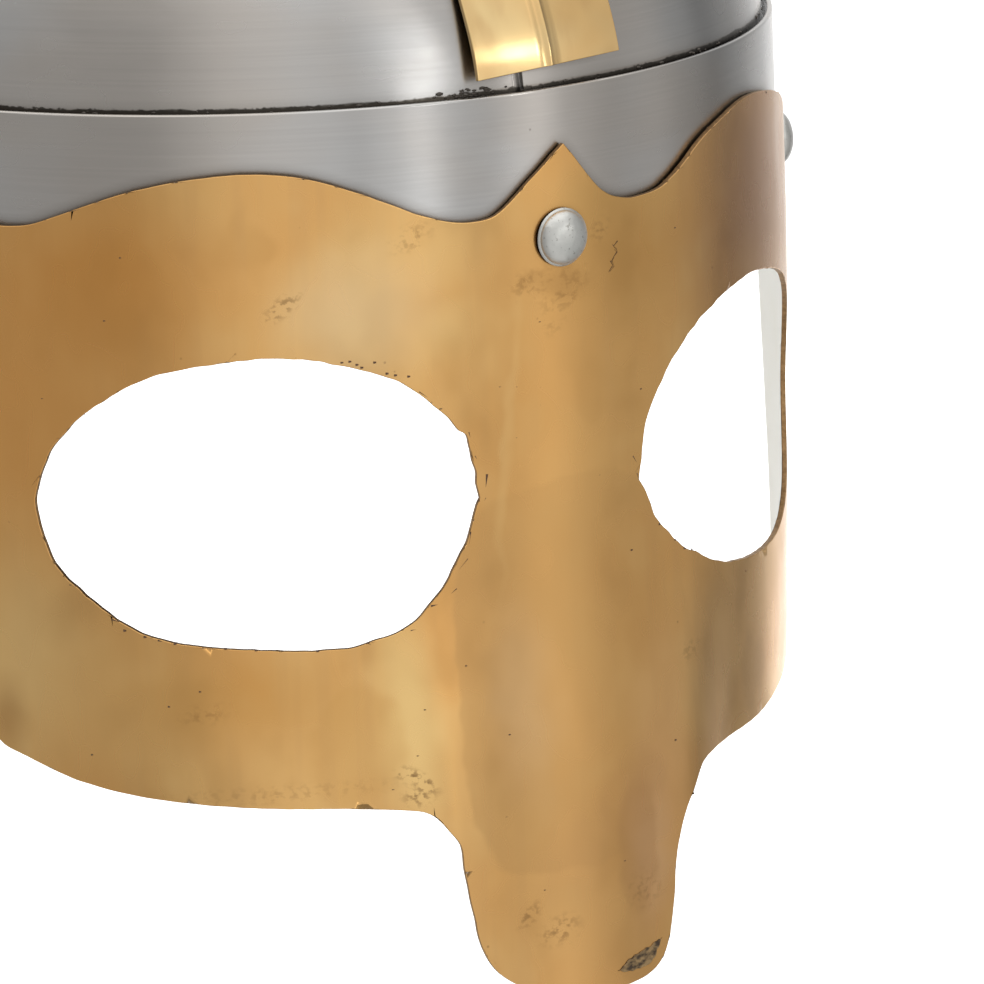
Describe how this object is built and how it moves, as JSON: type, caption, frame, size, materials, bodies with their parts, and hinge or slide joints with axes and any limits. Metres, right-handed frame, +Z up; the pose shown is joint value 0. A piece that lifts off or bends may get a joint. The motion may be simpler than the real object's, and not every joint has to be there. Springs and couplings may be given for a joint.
{
  "type": "spangenhelm helmet",
  "caption": "Oval steel helmet of four plates under brass strips, with a brow band and a brass spectacle mask with eye openings and a nose guard.",
  "frame": {"origin": "centre of the head opening, in the plane of the brow band's lower edge", "axes": "+Z up to the crown, -Y towards the face, +X to the wearer's left"},
  "size_m": [0.204, 0.2274, 0.2676],
  "materials": {
    "steel": "fine horizontal brush marks",
    "brass": "worn and unevenly tarnished",
    "rivet": "dull, with hammer marks"
  },
  "bodies": {
    "root": {"brow_band": "steel", "skull_plate_front_left": "steel", "skull_plate_front_right": "steel", "skull_plate_back_left": "steel", "skull_plate_back_right": "steel", "strip_front": "brass", "strip_back": "brass", "strip_left": "brass", "strip_right": "brass", "crown_disc": "brass", "face_mask": "brass", "rivet_mask_front": "rivet", "rivet_mask_left": "rivet", "rivet_mask_right": "rivet", "rivet_crown_front": "rivet", "rivet_crown_back": "rivet", "rivet_crown_left": "rivet", "rivet_crown_right": "rivet", "rivet_strip_front_1a": "rivet", "rivet_strip_front_1b": "rivet", "rivet_strip_front_2a": "rivet", "rivet_strip_front_2b": "rivet", "rivet_strip_back_1a": "rivet", "rivet_strip_back_1b": "rivet", "rivet_strip_back_2a": "rivet", "rivet_strip_back_2b": "rivet", "rivet_strip_left_1a": "rivet", "rivet_strip_left_1b": "rivet", "rivet_strip_left_2a": "rivet", "rivet_strip_left_2b": "rivet", "rivet_strip_right_1a": "rivet", "rivet_strip_right_1b": "rivet", "rivet_strip_right_2a": "rivet", "rivet_strip_right_2b": "rivet"}
  },
  "joints": []
}
